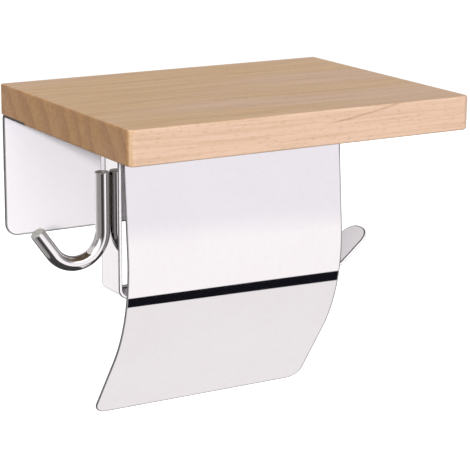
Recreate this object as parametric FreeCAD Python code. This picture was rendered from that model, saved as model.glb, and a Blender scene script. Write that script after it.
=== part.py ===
import FreeCAD, Part
import math
import os

# Wall-mounted toilet paper holder. A wooden shelf board sits on a folded steel wall plate. A flat
# strip bent into an open hanger carries the roll, a curved lid swings in front of it, and a round
# rod welded to the hanger's arm makes a side hook.
# Millimetres. The wall is the plane y = 0 and the room lies towards -Y, +X is to the right and +Z
# is up. The origin is the middle of the wall plate's back face.

V = FreeCAD.Vector
TOLERANCE = 1e-4                 # for comparing places when edges are picked

# Shelf board
SHELF_WIDTH = 200.0
SHELF_DEPTH = 150.0
SHELF_THICKNESS = 18.0
SHELF_CORNER_RADIUS = 4.0        # the two front corners; the rear ones are square on the wall
SHELF_EDGE_RADIUS = 1.0

# Wall plate: one sheet, folded forward at the top into a flange that sits in the board's rebate
PLATE_THICKNESS = 1.5
PLATE_DROP = 66.5                # from the board's underside to the plate's bottom edge
PLATE_SIDE_INSET = 0.4
PLATE_CORNER_RADIUS = 7.0
PLATE_BEND_RADIUS = 1.0          # inside of the fold
FLANGE_DEPTH = 30.0
FLANGE_CORNER_RADIUS = 3.0
FLANGE_SCREW_COUNT = 3
FLANGE_SCREW_INSET = 26.0        # from the board's side to the nearest screw
WALL_HOLE_RADIUS = 2.75
WALL_HOLE_SPACING = 64.0

# Roll hanger: flat strip, from the left: top flange, arm, run, raised lip
STRIP_WIDTH = 20.5
STRIP_THICKNESS = 2.0
STRIP_EDGE_RADIUS = 0.4
STRIP_FRONT = 77.0               # from the wall to the strip's front edge
ARM_INSIDE = 67.1                # from the middle to the arm's inner face
ARM_LENGTH = 86.0                # from the board's underside to the run's upper face
ARM_TOP_INSET = 5.9              # from the board's side to the end of the flange under the board
ARM_TOP_RADIUS = 2.0             # inside of the bend under the board
ARM_BOTTOM_RADIUS = 4.0          # inside of the bend at the run
RUN_LENGTH = 136.5               # from the arm's inner face to the corner of the lip
LIP_LENGTH = 26.3
LIP_ANGLE = 40.0
LIP_BEND_RADIUS = 6.0            # inside of the bend at the lip
LIP_CORNER_RADIUS = 8.5

# Side hook: round rod welded along the arm's outer face
ROD_DIAMETER = 8.0
ROD_END_CHAMFER = 0.5
HOOK_TOP_DROP = 20.2             # from the board's underside to the rod's cut top end
HOOK_STRAIGHT = 31.3             # from the cut top end to the start of the curve
HOOK_RADIUS = 15.9               # to the rod's middle
HOOK_SWEEP = 144.5
HOOK_TIP_LENGTH = 15.0
WELD_GAP = 0.2
WELD_WIDTH = 4.4
WELD_DEPTH = 1.0
WELD_END_INSET = 2.0

# Lid: thin sheet hanging on a hinge under the board
LID_SIDE_GAP = 0.35              # from the arm's inner face to the lid's side
LID_LEAD = 0.8                   # the top edge's front side is this far before the hanger's front
LID_THICKNESS = 1.0
LID_TOP_DROP = 7.0               # from the board's underside to the lid's top edge
LID_TILT = 4.66                  # the upper part leans this far forward when the lid hangs
LID_UPPER_RUN = 90.6             # from the top edge to the corner that the bend rounds
LID_LOWER_ANGLE = 35.1           # the lower part turns back this far from the vertical
LID_LOWER_RUN = 80.3
LID_BEND_RADIUS = 97.8           # outside of the bend
LID_CORNER_RADIUS = 8.0
LID_EDGE_RADIUS = 0.3

# Hinge
PIN_DIAMETER = 4.0
PIN_DROP = 12.0                  # from the board's underside to the hinge axis
PIN_SETBACK = 6.8                # behind the lid's top edge, right above the lid's centre of mass
PIN_HEAD_DIAMETER = 7.0
PIN_HEAD_THICKNESS = 1.2
PIN_END_LENGTH = 1.6             # pin beyond the lug, inside the cap
CAP_DIAMETER = 7.0
CAP_THICKNESS = 2.2
BRACKET_THICKNESS = 1.5
BRACKET_INSET = 9.0              # from the lid's side to the outer face of a bracket's ear
BRACKET_WIDTH = 26.0
BRACKET_DEPTH = 14.0
BRACKET_SETBACK = 11.0           # from the hinge axis back to the bracket's flange
BRACKET_SCREW_SPACING = 12.0
EAR_RADIUS = 5.0
LUG_THICKNESS = 1.2
LUG_BASE_WIDTH = 5.8
BUSH_WALL = 0.8
BUSH_FLANGE_DIAMETER = 8.4
BUSH_FLANGE_THICKNESS = 0.8
BUSH_PROUD = 0.2
RUNNING_CLEARANCE = 0.05         # pin in bush, on the radius
SIDE_CLEARANCE = 0.15            # between turning and fixed faces along the pin

# Wood screws
SCREW_DIAMETER = 3.4
SCREW_LENGTH = 14.0              # under the head
SCREW_HEAD_DIAMETER = 6.4
SCREW_HEAD_HEIGHT = 2.0
SCREW_HEAD_CURVE = 1.0
SCREW_POINT_LENGTH = 3.0
SCREW_HOLE_CLEARANCE = 0.3       # in the sheet, on the radius
CROSS_SLOT_LENGTH = 3.4
CROSS_SLOT_WIDTH = 0.9
CROSS_SLOT_DEPTH = 1.1
HANGER_SCREW_SPACING = 10.0

# Levels and places that follow from the sizes above
PLATE_TOP = (PLATE_DROP + PLATE_THICKNESS) / 2
PLATE_BOTTOM = -PLATE_TOP
UNDERSIDE = PLATE_TOP - PLATE_THICKNESS
SHELF_TOP = UNDERSIDE + SHELF_THICKNESS
RUN_TOP = UNDERSIDE - ARM_LENGTH
STRIP_MIDDLE_Y = STRIP_WIDTH / 2 - STRIP_FRONT
ARM_OUTSIDE = ARM_INSIDE + STRIP_THICKNESS
ARM_TOP_END = SHELF_WIDTH / 2 - ARM_TOP_INSET
LID_WIDTH = 2 * (ARM_INSIDE - LID_SIDE_GAP)
LID_FRONT = STRIP_FRONT + LID_LEAD
PIN_RADIUS = PIN_DIAMETER / 2
PIN_Y = PIN_SETBACK - LID_FRONT
PIN_Z = UNDERSIDE - PIN_DROP
BUSH_RADIUS = PIN_RADIUS + RUNNING_CLEARANCE + BUSH_WALL
BRACKET_OUTSIDE = LID_WIDTH / 2 - BRACKET_INSET
LUG_INSIDE = BRACKET_OUTSIDE + SIDE_CLEARANCE + BUSH_FLANGE_THICKNESS
LUG_OUTSIDE = LUG_INSIDE + LUG_THICKNESS
HEAD_INSIDE = LUG_OUTSIDE + BUSH_PROUD + SIDE_CLEARANCE
LID_DOWN = V(0, -math.sin(math.radians(LID_TILT)), -math.cos(math.radians(LID_TILT)))
LID_INWARD = V(0, math.cos(math.radians(LID_TILT)), -math.sin(math.radians(LID_TILT)))
LID_TOP = V(0, -LID_FRONT, UNDERSIDE - LID_TOP_DROP)


# ---------------------------------------------------------------- helpers

def box(low, high):
    size = high - low
    return Part.makeBox(size.x, size.y, size.z, low)


def rod(radius, start, end):
    axis = end - start
    return Part.makeCylinder(radius, axis.Length, start, axis)


def plate_from(corners, thickness_vector):
    wire = Part.makePolygon(corners + corners[:1])
    return Part.Face(wire).extrude(thickness_vector)


def in_xz(point):
    return V(point.x, 0, point.y)


def in_yz(point):
    return V(0, point.x, point.y)


def directions(points):
    return [(after - before).normalize() for before, after in zip(points, points[1:])]


def offset_path(points, radii, distance):
    """The parallel path on the right-hand side, with the radius that each bend then has."""
    runs = directions(points)
    sides = [V(run.y, -run.x, 0) for run in runs]
    moved = [points[0] + sides[0] * distance]
    moved_radii = []
    for number, radius in enumerate(radii):
        side, next_side = sides[number:number + 2]
        shared = (side + next_side) / (1 + side.dot(next_side))
        moved.append(points[number + 1] + shared * distance)
        turns_left = runs[number].cross(runs[number + 1]).z > 0
        moved_radii.append(radius + distance if turns_left else radius - distance)
    moved.append(points[-1] + sides[-1] * distance)
    return moved, moved_radii


def path_edges(points, radii, place):
    """Straight runs joined by tangent arcs."""
    runs = directions(points)
    edges = []
    start = points[0]
    for corner, radius, arriving, leaving in zip(points[1:], radii, runs, runs[1:]):
        half_turn = arriving.getAngle(leaving) / 2
        reach = radius * math.tan(half_turn)
        first = corner - arriving * reach
        last = corner + leaving * reach
        inward = (leaving - arriving).normalize()
        middle = corner + inward * (radius / math.cos(half_turn) - radius)
        edges.append(Part.LineSegment(place(start), place(first)).toShape())
        edges.append(Part.Arc(place(first), place(middle), place(last)).toShape())
        start = last
    edges.append(Part.LineSegment(place(start), place(points[-1])).toShape())
    return edges


def bent_sheet(points, radii, thickness, place, low, width_vector):
    """A sheet of even thickness: its profile follows the path, with the metal on the right."""
    back_points, back_radii = offset_path(points, radii, thickness)
    edges = path_edges(points, radii, place) + path_edges(back_points, back_radii, place)
    for front, back in ((points[0], back_points[0]), (points[-1], back_points[-1])):
        edges.append(Part.LineSegment(place(front), place(back)).toShape())
    wire = Part.Wire(Part.__sortEdges__(edges))
    sheet = Part.Face(wire).extrude(width_vector)
    sheet.translate(low)
    return sheet


def fillet_where(solid, radius, wanted):
    return solid.makeFillet(radius, [edge for edge in solid.Edges if wanted(edge)])


def is_straight_along(edge, direction):
    if not isinstance(edge.Curve, Part.Line):
        return False
    return abs(abs(edge.Curve.Direction.dot(direction)) - 1) < TOLERANCE


def one_solid(shape):
    shape = shape.removeSplitter()
    assert len(shape.Solids) == 1, "a sub-part came apart"
    return shape.Solids[0]


# ---------------------------------------------------------------- fasteners

def screw_shank(seat):
    """The part of an upward screw that is in the wood, and the hole that it makes."""
    neck = seat + V(0, 0, SCREW_LENGTH - SCREW_POINT_LENGTH)
    shank = rod(SCREW_DIAMETER / 2, seat, neck)
    point = Part.makeCone(SCREW_DIAMETER / 2, 0, SCREW_POINT_LENGTH, neck, V(0, 0, 1))
    return shank.fuse(point).removeSplitter()


def wood_screw(seat):
    """Round-headed cross-slot screw, driven upwards, with its head under the seat."""
    head_low = seat - V(0, 0, SCREW_HEAD_HEIGHT)
    head = rod(SCREW_HEAD_DIAMETER / 2, head_low, seat)
    head = fillet_where(head, SCREW_HEAD_CURVE, lambda edge: edge.BoundBox.ZMax < head_low.z + TOLERANCE)
    screw = head.fuse(screw_shank(seat))
    for length, width in ((CROSS_SLOT_LENGTH, CROSS_SLOT_WIDTH), (CROSS_SLOT_WIDTH, CROSS_SLOT_LENGTH)):
        half = V(length / 2, width / 2, 0)
        screw = screw.cut(box(head_low - half, head_low + half + V(0, 0, CROSS_SLOT_DEPTH)))
    return one_solid(screw)


def screw_hole(seat, thickness):
    """Clearance hole through the sheet above the screw's seat."""
    return rod(SCREW_DIAMETER / 2 + SCREW_HOLE_CLEARANCE, seat, seat + V(0, 0, thickness))


def flange_screw_seats():
    last = SHELF_WIDTH / 2 - FLANGE_SCREW_INSET
    spacing = 2 * last / (FLANGE_SCREW_COUNT - 1)
    places = [spacing * number - last for number in range(FLANGE_SCREW_COUNT)]
    return [V(x, -(FLANGE_DEPTH + PLATE_THICKNESS) / 2, UNDERSIDE) for x in places]


def hanger_screw_seats():
    flat_start = ARM_OUTSIDE + ARM_TOP_RADIUS
    x = -(flat_start + ARM_TOP_END) / 2
    level = UNDERSIDE - STRIP_THICKNESS
    half = HANGER_SCREW_SPACING / 2
    return [V(x, STRIP_MIDDLE_Y + offset, level) for offset in (-half, half)]


def bracket_screw_seats(side):
    middle_x = BRACKET_OUTSIDE - BRACKET_WIDTH / 2
    y = PIN_Y + BRACKET_SETBACK + BRACKET_DEPTH / 2
    level = UNDERSIDE - BRACKET_THICKNESS
    half = BRACKET_SCREW_SPACING / 2
    return [V(side * (middle_x + offset), y, level) for offset in (-half, half)]


def all_screw_seats():
    return flange_screw_seats() + hanger_screw_seats() + bracket_screw_seats(-1) + bracket_screw_seats(1)


# ---------------------------------------------------------------- shelf and wall plate

def shelf_board():
    low = V(-SHELF_WIDTH / 2, -SHELF_DEPTH, UNDERSIDE)
    high = V(SHELF_WIDTH / 2, 0, SHELF_TOP)
    board = box(low, high)
    board = fillet_where(
        board, SHELF_CORNER_RADIUS,
        lambda edge: is_straight_along(edge, V(0, 0, 1)) and edge.BoundBox.YMax < TOLERANCE - SHELF_DEPTH)
    board = fillet_where(
        board, SHELF_EDGE_RADIUS,
        lambda edge: edge.BoundBox.ZLength < TOLERANCE and edge.BoundBox.YMin < -TOLERANCE)
    rebate_low = V(-SHELF_WIDTH, -FLANGE_DEPTH, UNDERSIDE - PLATE_THICKNESS)
    board = board.cut(box(rebate_low, V(SHELF_WIDTH, SHELF_DEPTH, PLATE_TOP)))
    for seat in all_screw_seats():
        board = board.cut(screw_shank(seat))
    return one_solid(board)


def wall_plate():
    width = SHELF_WIDTH - 2 * PLATE_SIDE_INSET
    # From the flange's front edge back to the fold and down the wall, with the metal inside the fold.
    path = [V(-FLANGE_DEPTH, PLATE_TOP), V(0, PLATE_TOP), V(0, PLATE_BOTTOM)]
    outer_radius = PLATE_BEND_RADIUS + PLATE_THICKNESS
    plate = bent_sheet(path, [outer_radius], PLATE_THICKNESS, in_yz, V(-width / 2, 0, 0), V(width, 0, 0))
    plate = fillet_where(
        plate, PLATE_CORNER_RADIUS,
        lambda edge: is_straight_along(edge, V(0, 1, 0)) and edge.BoundBox.ZMax < PLATE_BOTTOM + TOLERANCE)
    plate = fillet_where(
        plate, FLANGE_CORNER_RADIUS,
        lambda edge: is_straight_along(edge, V(0, 0, 1)) and edge.BoundBox.YMax < TOLERANCE - FLANGE_DEPTH)
    for side in (-1, 1):
        centre = V(side * WALL_HOLE_SPACING / 2, 0, 0)
        plate = plate.cut(rod(WALL_HOLE_RADIUS, centre, centre - V(0, PLATE_THICKNESS, 0)))
    for seat in flange_screw_seats():
        plate = plate.cut(screw_hole(seat, PLATE_THICKNESS))
    return one_solid(plate)


# ---------------------------------------------------------------- roll hanger and hook

def roll_hanger():
    lip_rise = math.radians(LIP_ANGLE)
    run_end = RUN_LENGTH - ARM_INSIDE
    path = [
        V(-ARM_TOP_END, UNDERSIDE),
        V(-ARM_INSIDE, UNDERSIDE),
        V(-ARM_INSIDE, RUN_TOP),
        V(run_end, RUN_TOP),
        V(run_end + LIP_LENGTH * math.cos(lip_rise), RUN_TOP + LIP_LENGTH * math.sin(lip_rise)),
    ]
    radii = [ARM_TOP_RADIUS + STRIP_THICKNESS, ARM_BOTTOM_RADIUS, LIP_BEND_RADIUS]
    strip = bent_sheet(path, radii, STRIP_THICKNESS, in_xz, V(0, -STRIP_FRONT, 0), V(0, STRIP_WIDTH, 0))
    across_lip = V(math.sin(lip_rise), 0, -math.cos(lip_rise))
    lip_end = path[-1].x - TOLERANCE
    strip = fillet_where(
        strip, LIP_CORNER_RADIUS,
        lambda edge: is_straight_along(edge, across_lip) and edge.BoundBox.XMax > lip_end)
    strip = fillet_where(strip, STRIP_EDGE_RADIUS, is_long_strip_edge)
    for seat in hanger_screw_seats():
        strip = strip.cut(screw_hole(seat, STRIP_THICKNESS))
    return one_solid(strip)


def is_long_strip_edge(edge):
    """The edges along the strip below its top bend, round the lip too, but none across its thickness."""
    below_top_bend = edge.BoundBox.ZMin < UNDERSIDE - ARM_LENGTH / 2
    return below_top_bend and edge.Length > STRIP_THICKNESS + TOLERANCE


def hook_path():
    x = -(ARM_OUTSIDE + WELD_GAP + ROD_DIAMETER / 2)
    top = UNDERSIDE - HOOK_TOP_DROP
    start = V(x, STRIP_MIDDLE_Y, top)
    bend = V(x, STRIP_MIDDLE_Y, top - HOOK_STRAIGHT)
    centre = bend - V(HOOK_RADIUS, 0, 0)
    sweep = math.radians(HOOK_SWEEP)

    def on_arc(angle):
        return centre + V(math.cos(angle), 0, -math.sin(angle)) * HOOK_RADIUS

    leave = on_arc(sweep)
    tip = leave + V(-math.sin(sweep), 0, -math.cos(sweep)) * HOOK_TIP_LENGTH
    return start, bend, on_arc(sweep / 2), leave, tip


def side_hook():
    start, bend, middle, leave, tip = hook_path()
    path = Part.Wire([
        Part.LineSegment(start, bend).toShape(),
        Part.Arc(bend, middle, leave).toShape(),
        Part.LineSegment(leave, tip).toShape(),
    ])
    section = Part.Wire(Part.Circle(start, V(0, 0, 1), ROD_DIAMETER / 2).toShape())
    hook = path.makePipeShell([section], True, False)
    ends = [
        edge for edge in hook.Edges
        if isinstance(edge.Curve, Part.Circle) and min(
            (edge.Curve.Center - start).Length, (edge.Curve.Center - tip).Length) < TOLERANCE]
    return one_solid(hook.makeChamfer(ROD_END_CHAMFER, ends))


def hook_weld():
    """Weld metal that fills the wedge between the round rod and the flat arm."""
    start, bend, _, _, _ = hook_path()
    half = V(0, WELD_WIDTH / 2, 0)
    inset = V(0, 0, WELD_END_INSET)
    top = V(-ARM_OUTSIDE, STRIP_MIDDLE_Y, start.z) - inset
    bottom = V(-ARM_OUTSIDE - WELD_DEPTH, STRIP_MIDDLE_Y, bend.z) + inset
    bead = box(bottom - half, top + half)
    return one_solid(bead.cut(rod(ROD_DIAMETER / 2, start, bend)))


# ---------------------------------------------------------------- lid and hinge

def lid():
    lower = math.radians(LID_LOWER_ANGLE)
    knee = LID_TOP + LID_DOWN * LID_UPPER_RUN
    bottom = knee + V(0, math.sin(lower), -math.cos(lower)) * LID_LOWER_RUN
    path = [V(point.y, point.z) for point in (bottom, knee, LID_TOP)]
    sheet = bent_sheet(
        path, [LID_BEND_RADIUS], LID_THICKNESS, in_yz, V(-LID_WIDTH / 2, 0, 0), V(LID_WIDTH, 0, 0))
    across_bottom = V(0, math.cos(lower), math.sin(lower))
    sheet = fillet_where(
        sheet, LID_CORNER_RADIUS,
        lambda edge: is_straight_along(edge, across_bottom) and edge.BoundBox.ZMax < knee.z)
    sheet = fillet_where(sheet, LID_EDGE_RADIUS, lambda edge: edge.Length > LID_THICKNESS + TOLERANCE)
    return one_solid(sheet)


def on_lid_back(along):
    """Point of the lid's back face, level with the hinge axis along the sheet, plus an offset."""
    back_top = LID_TOP + LID_INWARD * LID_THICKNESS
    level = (V(0, PIN_Y, PIN_Z) - back_top).dot(LID_DOWN)
    return back_top + LID_DOWN * (level + along)


def lid_lug(side):
    """Folded angle welded to the lid's back: its ear holds the bush, its base lies on the lid."""
    inside = V(side * LUG_INSIDE, 0, 0)
    upper = on_lid_back(-EAR_RADIUS)
    lower = on_lid_back(EAR_RADIUS)
    pivot = V(0, PIN_Y, PIN_Z)
    reach = LID_DOWN * EAR_RADIUS
    ear = plate_from(
        [corner + inside for corner in (upper, lower, pivot + reach, pivot - reach)],
        V(side * LUG_THICKNESS, 0, 0))
    boss = rod(EAR_RADIUS, pivot + inside, pivot + V(side * LUG_OUTSIDE, 0, 0))
    base_rise = LID_INWARD * LUG_THICKNESS
    base = plate_from(
        [corner + inside for corner in (upper, lower, lower + base_rise, upper + base_rise)],
        V(side * (LUG_THICKNESS + LUG_BASE_WIDTH), 0, 0))
    lug = ear.fuse([boss, base])
    hole = rod(BUSH_RADIUS, pivot + inside, pivot + V(side * LUG_OUTSIDE, 0, 0))
    return one_solid(lug.cut(hole))


def lid_bush(side):
    """Plastic bush in a lug, with its flange against the bracket's ear."""
    pivot = V(0, PIN_Y, PIN_Z)
    flange_start = pivot + V(side * (LUG_INSIDE - BUSH_FLANGE_THICKNESS), 0, 0)
    lug_face = pivot + V(side * LUG_INSIDE, 0, 0)
    end = pivot + V(side * (LUG_OUTSIDE + BUSH_PROUD), 0, 0)
    bush = rod(BUSH_RADIUS, flange_start, end).fuse(rod(BUSH_FLANGE_DIAMETER / 2, flange_start, lug_face))
    return one_solid(bush.cut(rod(PIN_RADIUS + RUNNING_CLEARANCE, flange_start, end)))


def hinge_bracket(side):
    """Cranked bracket under the board: its ear comes from behind, clear of the lid's top edge."""
    outside = V(side * BRACKET_OUTSIDE, 0, 0)
    inward = V(-side * BRACKET_THICKNESS, 0, 0)
    pivot = V(0, PIN_Y, PIN_Z)
    flange_front = PIN_Y + BRACKET_SETBACK
    flange_back = flange_front + BRACKET_DEPTH
    outline = [
        pivot + V(0, 0, EAR_RADIUS),
        V(0, flange_front - BRACKET_THICKNESS, PIN_Z + EAR_RADIUS),
        V(0, flange_front, UNDERSIDE),
        V(0, flange_back, UNDERSIDE),
        V(0, flange_back, UNDERSIDE - BRACKET_THICKNESS),
        V(0, flange_front, PIN_Z - EAR_RADIUS),
        pivot - V(0, 0, EAR_RADIUS),
    ]
    ear = plate_from([corner + outside for corner in outline], inward)
    boss = rod(EAR_RADIUS, pivot + outside, pivot + outside + inward)
    far_x = side * (BRACKET_OUTSIDE - BRACKET_WIDTH)
    near_x = side * BRACKET_OUTSIDE
    flange = box(
        V(min(far_x, near_x), flange_front, UNDERSIDE - BRACKET_THICKNESS),
        V(max(far_x, near_x), flange_back, UNDERSIDE))
    bracket = ear.fuse([boss, flange])
    bracket = bracket.cut(rod(PIN_RADIUS, pivot + outside, pivot + outside + inward))
    for seat in bracket_screw_seats(side):
        bracket = bracket.cut(screw_hole(seat, BRACKET_THICKNESS))
    return one_solid(bracket)


def hinge_pin():
    """One pin through both brackets, with a formed head on the left and a plain end on the right."""
    head = V(-HEAD_INSIDE - PIN_HEAD_THICKNESS, PIN_Y, PIN_Z)
    head_face = V(-HEAD_INSIDE, PIN_Y, PIN_Z)
    end = V(HEAD_INSIDE + PIN_END_LENGTH, PIN_Y, PIN_Z)
    return one_solid(rod(PIN_HEAD_DIAMETER / 2, head, head_face).fuse(rod(PIN_RADIUS, head_face, end)))


def pin_cap():
    """Push-on cap that holds the pin's plain end."""
    start = V(HEAD_INSIDE, PIN_Y, PIN_Z)
    cap = rod(CAP_DIAMETER / 2, start, start + V(CAP_THICKNESS, 0, 0))
    return one_solid(cap.cut(rod(PIN_RADIUS, start, start + V(PIN_END_LENGTH, 0, 0))))


# ---------------------------------------------------------------- the whole holder

def screws(seats):
    return Part.makeCompound([wood_screw(seat) for seat in seats])


def build():
    return {
        "shelf_board": shelf_board(),
        "wall_plate": wall_plate(),
        "wall_plate_screws": screws(flange_screw_seats()),
        "roll_hanger": roll_hanger(),
        "roll_hanger_screws": screws(hanger_screw_seats()),
        "side_hook": side_hook(),
        "side_hook_weld": hook_weld(),
        "hinge_bracket_left": hinge_bracket(-1),
        "hinge_bracket_right": hinge_bracket(1),
        "hinge_bracket_screws": screws(bracket_screw_seats(-1) + bracket_screw_seats(1)),
        "hinge_pin": hinge_pin(),
        "hinge_pin_cap": pin_cap(),
        "lid": lid(),
        "lid_lug_left": lid_lug(-1),
        "lid_lug_right": lid_lug(1),
        "lid_bush_left": lid_bush(-1),
        "lid_bush_right": lid_bush(1),
    }


def main():
    os.makedirs("parts", exist_ok=True)
    for node, shape in build().items():
        assert shape.isValid(), node
        shape.exportStep("parts/" + node + ".step")
        print(node, len(shape.Solids), "solids", round(shape.Volume, 1), "mm3")


main()
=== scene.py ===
"""Looks of the wall-mounted toilet paper holder.

The wall is the plane y = 0, the room lies towards -Y, +X is to the right and +Z is up. Metres.
Each sub-assembly is a class: its fields are its sizes, build() makes the meshes and dress() gives
them their finish and the body that they ride on.
"""

import logging
import math
from dataclasses import dataclass, field
from enum import Enum

import bmesh
import bpy
from mathutils import Matrix, Vector


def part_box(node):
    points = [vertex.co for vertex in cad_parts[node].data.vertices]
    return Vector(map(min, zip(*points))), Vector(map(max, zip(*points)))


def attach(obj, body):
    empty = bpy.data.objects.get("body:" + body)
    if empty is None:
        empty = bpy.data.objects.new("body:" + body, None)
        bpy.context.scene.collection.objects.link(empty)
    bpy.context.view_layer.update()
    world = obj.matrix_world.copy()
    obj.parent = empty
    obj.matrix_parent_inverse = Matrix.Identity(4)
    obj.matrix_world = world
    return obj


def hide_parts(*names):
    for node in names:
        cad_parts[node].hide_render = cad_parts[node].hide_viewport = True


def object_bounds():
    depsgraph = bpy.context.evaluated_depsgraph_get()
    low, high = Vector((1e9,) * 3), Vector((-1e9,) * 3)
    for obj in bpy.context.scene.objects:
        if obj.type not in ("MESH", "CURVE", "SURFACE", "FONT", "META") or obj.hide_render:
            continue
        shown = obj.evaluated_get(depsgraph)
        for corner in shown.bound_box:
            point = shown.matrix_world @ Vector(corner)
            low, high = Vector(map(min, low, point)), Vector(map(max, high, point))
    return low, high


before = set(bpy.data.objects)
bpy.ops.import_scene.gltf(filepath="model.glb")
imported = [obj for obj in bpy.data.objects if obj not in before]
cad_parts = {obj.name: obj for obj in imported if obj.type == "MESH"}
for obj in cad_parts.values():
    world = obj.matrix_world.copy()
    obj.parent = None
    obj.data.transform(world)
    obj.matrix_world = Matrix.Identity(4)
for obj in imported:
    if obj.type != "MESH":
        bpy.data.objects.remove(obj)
CAD_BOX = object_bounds()
MM = 0.001
TOUCHING = 1e-6                  # two places nearer than this are the same place
SHARP_ANGLE = math.radians(50)   # a crease sharper than this stays a crease
FLAT_ANGLE = math.radians(1)     # faces that differ less than this are one flat face
ALONG = 0.999                    # the cosine above which two directions are the same
AREA_WEIGHT = 100                # of a face's size, in the vertex normals
log = logging.getLogger("holder")

Triple = tuple[float, float, float]
Colour = tuple[float, float, float, float]


class Body(Enum):
    """The two bodies that pieces ride on."""

    HOLDER = "holder"
    LID = "lid"


class Slot(Enum):
    """The record's material slots that the pieces made here have."""

    WOOD = "wood"
    POLISHED_STEEL = "polished_steel"
    BUSH_PLASTIC = "bush_plastic"


class Part(Enum):
    """The parts of a piece's surface that can have their own finish, by material number."""

    FACE = 0
    RIM = 1
    BROKEN_EDGE = 2
    # the band along a sheet's cut edge that is painted dark to draw its outline
    SHADE_BAND = 3
    LIP = 4


class Plane(Enum):
    """The plane that a bent sheet's side view is drawn in: its two axes."""

    XZ = (Vector((1, 0, 0)), Vector((0, 0, 1)))
    YZ = (Vector((0, 1, 0)), Vector((0, 0, 1)))

    @property
    def across(self) -> Vector:
        """The direction that a turn from the first axis to the second goes round."""
        return self.value[0].cross(self.value[1])

    def place(self, point: Vector) -> Vector:
        """The place in space of a point of the side view."""
        return self.value[0] * point.x + self.value[1] * point.y


# ------------------------------------------------------------------ node graphs


@dataclass(frozen=True)
class Layer:
    """How a pattern's value becomes a share: nothing up to low, the full share from high on."""

    low: float
    high: float
    share: float = 1.0


class Graph:
    """The node tree of a material or of the world."""

    def __init__(self, tree: bpy.types.NodeTree) -> None:
        """Starts with an empty tree."""
        self.tree = tree
        tree.nodes.clear()

    def add(self, kind: str, sockets: dict | None = None, **settings: object) -> bpy.types.Node:
        """Adds a node.

        Args:
            kind: The node's type without its ShaderNode prefix.
            sockets: Input name or number to a value or to the output socket that feeds it.
            settings: The node's own properties.

        Returns:
            The new node.
        """
        node = self.tree.nodes.new("ShaderNode" + kind)
        for name, value in settings.items():
            setattr(node, name, value)
        for name, value in (sockets or {}).items():
            if isinstance(value, bpy.types.NodeSocket):
                self.tree.links.new(value, node.inputs[name])
            else:
                node.inputs[name].default_value = value
        return node

    def math(self, operation: str, *values: object) -> bpy.types.NodeSocket:
        """The result of a math node on one, two or three values."""
        return self.add("Math", dict(enumerate(values)), operation=operation).outputs[0]

    def ramp(self, value: object, low: float, high: float,
             to: tuple[float, float] = (0, 1)) -> bpy.types.NodeSocket:
        """Turns a value from low to high smoothly into one between the two ends of to."""
        sockets = {"Value": value, 1: low, 2: high, 3: to[0], 4: to[1]}
        return self.add("MapRange", sockets, interpolation_type="SMOOTHSTEP").outputs[0]

    def share(self, value: object, layer: Layer) -> bpy.types.NodeSocket:
        """How much of a layer a pattern's value gives."""
        return self.ramp(value, layer.low, layer.high, (0, layer.share))

    def mix(self, share: object, first: object, second: object, blend: str = "MIX") -> bpy.types.NodeSocket:
        """Mixes two colours.

        Args:
            share: How much of the second colour.
            first: Colour, or the socket that gives it.
            second: Colour, or the socket that gives it.
            blend: The node's blend type.

        Returns:
            The mixed colour.
        """
        sockets = {0: share, 6: first, 7: second}
        return self.add("Mix", sockets, data_type="RGBA", blend_type=blend).outputs[2]

    def noise(self, place: bpy.types.NodeSocket, stretch: Triple,
              detail: float = 2.0) -> bpy.types.NodeSocket:
        """Noise with its own number of lumps to the metre along each axis.

        Args:
            place: The coordinates.
            stretch: Lumps to the metre along X, Y and Z.
            detail: Octaves of finer noise.

        Returns:
            The noise's value, about 0.5.
        """
        moved = self.add("Mapping", {"Vector": place, "Scale": stretch})
        return self.add("TexNoise", {"Vector": moved.outputs[0], "Scale": 1.0, "Detail": detail}).outputs[0]


class Surface(Graph):
    """The node tree of one finish, which ends in a Principled shader."""

    def __init__(self, name: str) -> None:
        """Makes the material with its shader and the piece's own coordinates.

        Args:
            name: The material's name.
        """
        self.material = bpy.data.materials.new(name)
        self.material.use_nodes = True
        super().__init__(self.material.node_tree)
        self.shader = self.add("BsdfPrincipled")
        self.add("OutputMaterial", {"Surface": self.shader.outputs[0]})
        coordinates = self.add("TexCoord")
        self.place = coordinates.outputs["Object"]

    def finish(self, **sockets: object) -> bpy.types.Material:
        """Sets the shader's sockets.

        Args:
            sockets: Input name, with _ for a space, to a value or to the output socket that feeds it.

        Returns:
            The material.
        """
        for name, value in sockets.items():
            socket = self.shader.inputs[name.replace("_", " ")]
            if isinstance(value, bpy.types.NodeSocket):
                self.tree.links.new(value, socket)
            else:
                socket.default_value = value
        return self.material

    def bump(self, height: bpy.types.NodeSocket, depth: float, strength: float = 1.0) -> bpy.types.NodeSocket:
        """The bumped normal for a height from 0 to 1 that is depth metres high."""
        return self.add("Bump", {"Height": height, "Distance": depth, "Strength": strength}).outputs[0]


# ------------------------------------------------------------------ finishes


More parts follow.
